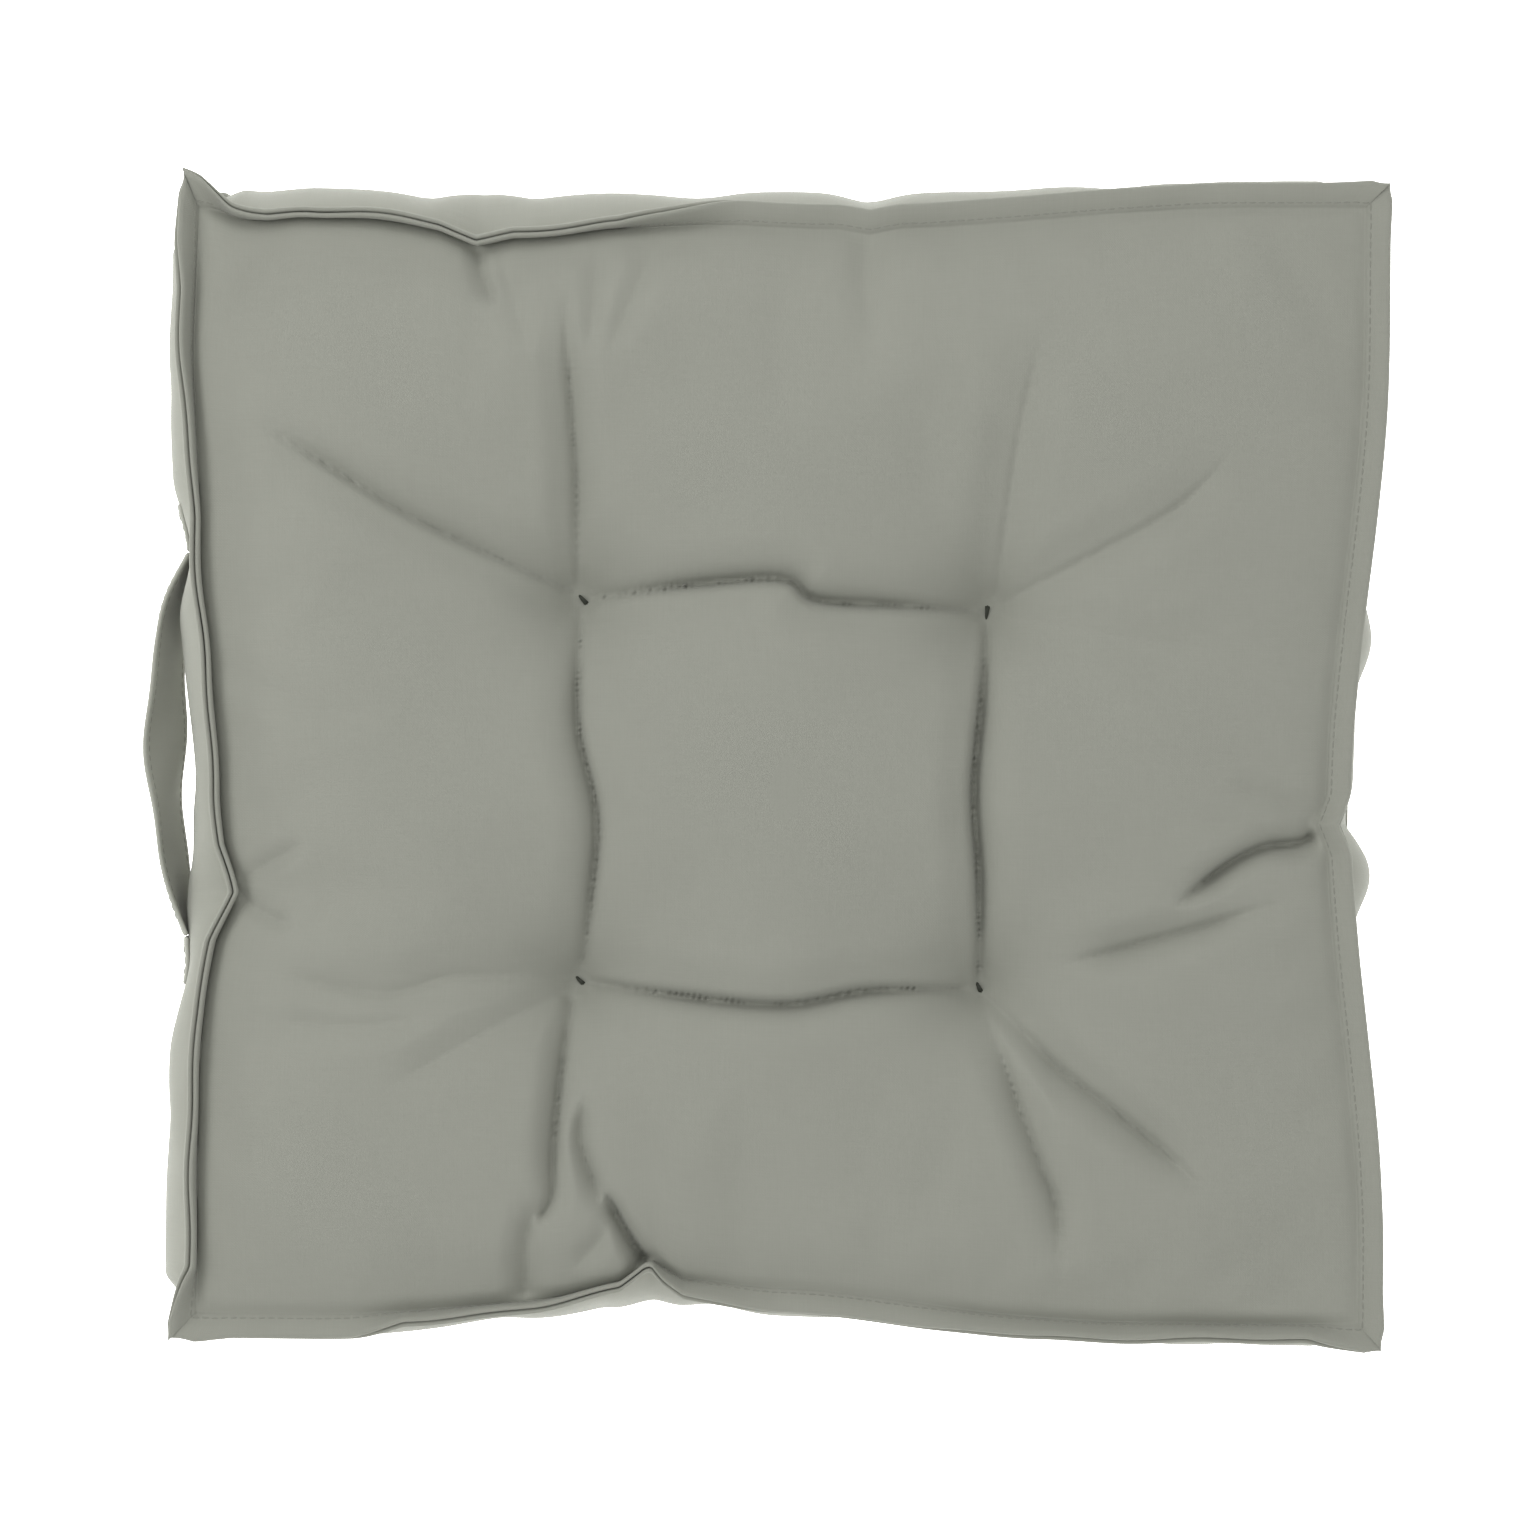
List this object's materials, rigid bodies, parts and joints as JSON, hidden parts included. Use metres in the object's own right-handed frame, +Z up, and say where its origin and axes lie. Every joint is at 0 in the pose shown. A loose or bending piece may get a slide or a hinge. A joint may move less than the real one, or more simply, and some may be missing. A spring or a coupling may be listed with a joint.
{
  "type": "chair seat pad",
  "caption": "Square tufted chair seat pad with a boxed edge, flanged seams all round and a fabric strap handle on one side.",
  "frame": {"origin": "centre of the flat underside, where the pad rests", "axes": "+Z up through the pad, +Y towards its back edge, +X towards its right side; the handle hangs on the -X side"},
  "size_m": [0.4659, 0.438, 0.082],
  "materials": {
    "cover_cloth": "matte",
    "strap_cloth": "matte",
    "sewing_thread": "matte",
    "tuft_twine": "matte",
    "fibre_wadding": "matte",
    "foam": "matte"
  },
  "bodies": {
    "pad": {"top_panel": "cover_cloth", "bottom_panel": "cover_cloth", "boxing_left": "cover_cloth", "boxing_right": "cover_cloth", "boxing_front": "cover_cloth", "boxing_back": "cover_cloth", "foam_core": "foam", "wadding_top": "fibre_wadding", "wadding_bottom": "fibre_wadding", "top_flange_needle_thread": "sewing_thread", "top_flange_bobbin_thread": "sewing_thread", "bottom_flange_bobbin_thread": "sewing_thread", "bottom_flange_needle_thread": "sewing_thread", "corner_seam_back_left": "sewing_thread", "corner_seam_back_right": "sewing_thread", "corner_seam_front_left": "sewing_thread", "corner_seam_front_right": "sewing_thread", "tuft_tie_back_left": "tuft_twine", "tuft_tie_back_right": "tuft_twine", "tuft_tie_front_left": "tuft_twine", "tuft_tie_front_right": "tuft_twine", "handle_end_front": "strap_cloth", "handle_end_back": "strap_cloth", "handle_tack_front": "sewing_thread", "handle_tack_back": "sewing_thread"},
    "handle": {"handle_strap": "strap_cloth", "handle_hem_upper": "sewing_thread", "handle_hem_lower": "sewing_thread"}
  },
  "joints": [
    {"name": "handle_swing", "type": "hinge", "parent": "pad", "child": "handle", "pos_m": [-0.22282, 0.005, 0.05], "axis": [0, 1, 0], "range_deg": [0, 90]}
  ]
}
